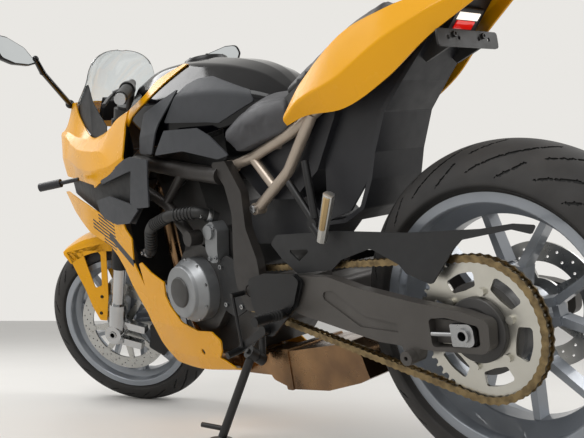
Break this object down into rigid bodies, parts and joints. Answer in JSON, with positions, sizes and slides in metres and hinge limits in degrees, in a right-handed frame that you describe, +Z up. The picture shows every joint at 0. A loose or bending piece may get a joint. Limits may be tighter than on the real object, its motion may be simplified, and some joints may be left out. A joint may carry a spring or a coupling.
{
  "type": "sport motorcycle",
  "caption": "Faired two-wheeled sport motorcycle with clip-on bars, twin front discs and chain drive, parked on its side stand with the steering turned.",
  "frame": {"origin": "centre of the bounding box on the floor, machine parked on its side stand", "axes": "+X forwards, +Y to the rider's left (the side it leans to), +Z up; floor at z 0"},
  "size_m": [2.0443, 0.8746, 1.232],
  "materials": {
    "axle_steel": "turned steel",
    "black_casting": "satin black",
    "black_plastic": "matt black",
    "caliper_paint": "satin black",
    "chain_steel": "bronze-tinted plates",
    "clear_screen": "clear",
    "disc_steel": "ground stainless steel",
    "engine_casting": "painted cast alloy",
    "exhaust_steel": "heat-tinted stainless steel",
    "footrest_alloy": "satin",
    "fork_paint": "satin black",
    "fork_slider": "satin",
    "frame_paint": "satin brown-grey paint",
    "gloss_black": "gloss black",
    "grip_rubber": "ribbed",
    "hose_rubber": "ribbed",
    "lamp_lens": "clear moulded lens",
    "radiator_alloy": "matt black",
    "seat_cover": "grained vinyl",
    "sprocket_zinc": "pale zinc",
    "subframe_paint": "light taupe metallic paint",
    "tank_paint": "gloss black",
    "textured_plastic": "grained dark grey",
    "tyre_rubber": "dusty",
    "wheel_paint": "blue-grey silver",
    "yellow_panel": "gloss golden yellow"
  },
  "bodies": {
    "chassis": {"main_frame": "frame_paint", "subframe": "subframe_paint", "crankcase": "engine_casting", "cylinder_head": "engine_casting", "engine_covers": "engine_casting", "sprocket_cover": "black_plastic", "radiator": "radiator_alloy", "exhaust_headers": "exhaust_steel", "exhaust_box": "exhaust_steel", "coolant_hose": "hose_rubber", "fuel_tank": "tank_paint", "tank_pads": "textured_plastic", "rider_seat": "seat_cover", "passenger_seat": "seat_cover", "tail_panels": "yellow_panel", "tail_light": "lamp_lens", "under_tail": "black_plastic", "plate_bracket": "black_plastic", "swingarm": "frame_paint", "rear_axle": "axle_steel", "chain": "chain_steel", "chain_guard": "black_plastic", "front_sprocket": "axle_steel", "rider_footrests": "footrest_alloy", "gear_lever": "footrest_alloy", "passenger_footrests": "footrest_alloy", "upper_cowl": "yellow_panel", "nose": "black_plastic", "headlights": "lamp_lens", "windscreen": "clear_screen", "side_ducts": "textured_plastic", "lower_cowl": "yellow_panel", "dash": "black_plastic", "fairing_stay": "frame_paint", "mirrors": "gloss_black", "turn_signals": "gloss_black", "stand_bracket": "frame_paint"},
    "steering": {"fork_upper": "fork_paint", "fork_lower": "fork_slider", "front_axle": "axle_steel", "front_calipers": "caliper_paint", "front_mudguard": "yellow_panel", "handlebars": "frame_paint", "grips": "grip_rubber", "bar_weights": "axle_steel", "control_levers": "black_plastic"},
    "side_stand": {"side_stand": "frame_paint"},
    "front_wheel": {"front_tyre": "tyre_rubber", "front_rim": "wheel_paint", "front_discs": "disc_steel"},
    "rear_wheel": {"rear_tyre": "tyre_rubber", "rear_rim": "wheel_paint", "sprocket_carrier": "black_casting", "rear_sprocket": "sprocket_zinc", "rear_disc": "disc_steel"}
  },
  "joints": [
    {"name": "steering", "type": "hinge", "parent": "chassis", "child": "steering", "pos_m": [0.72809, -0.19442, 0.27194], "axis": [-0.4169, 0.2039, 0.8858], "range_deg": [-65, 0]},
    {"name": "front_wheel_spin", "type": "hinge", "parent": "steering", "child": "front_wheel", "pos_m": [0.75298, -0.17479, 0.27914], "axis": [-0.4896, 0.7707, -0.4078], "continuous": true},
    {"name": "rear_wheel_spin", "type": "hinge", "parent": "chassis", "child": "rear_wheel", "pos_m": [-0.70724, -0.18795, 0.30928], "axis": [-0.0015, 0.9744, -0.2249], "continuous": true},
    {"name": "side_stand_fold", "type": "hinge", "parent": "chassis", "child": "side_stand", "pos_m": [-0.06989, -0.07486, 0.20821], "axis": [0.003, 0.891, 0.454], "range_deg": [0, 97]}
  ]
}
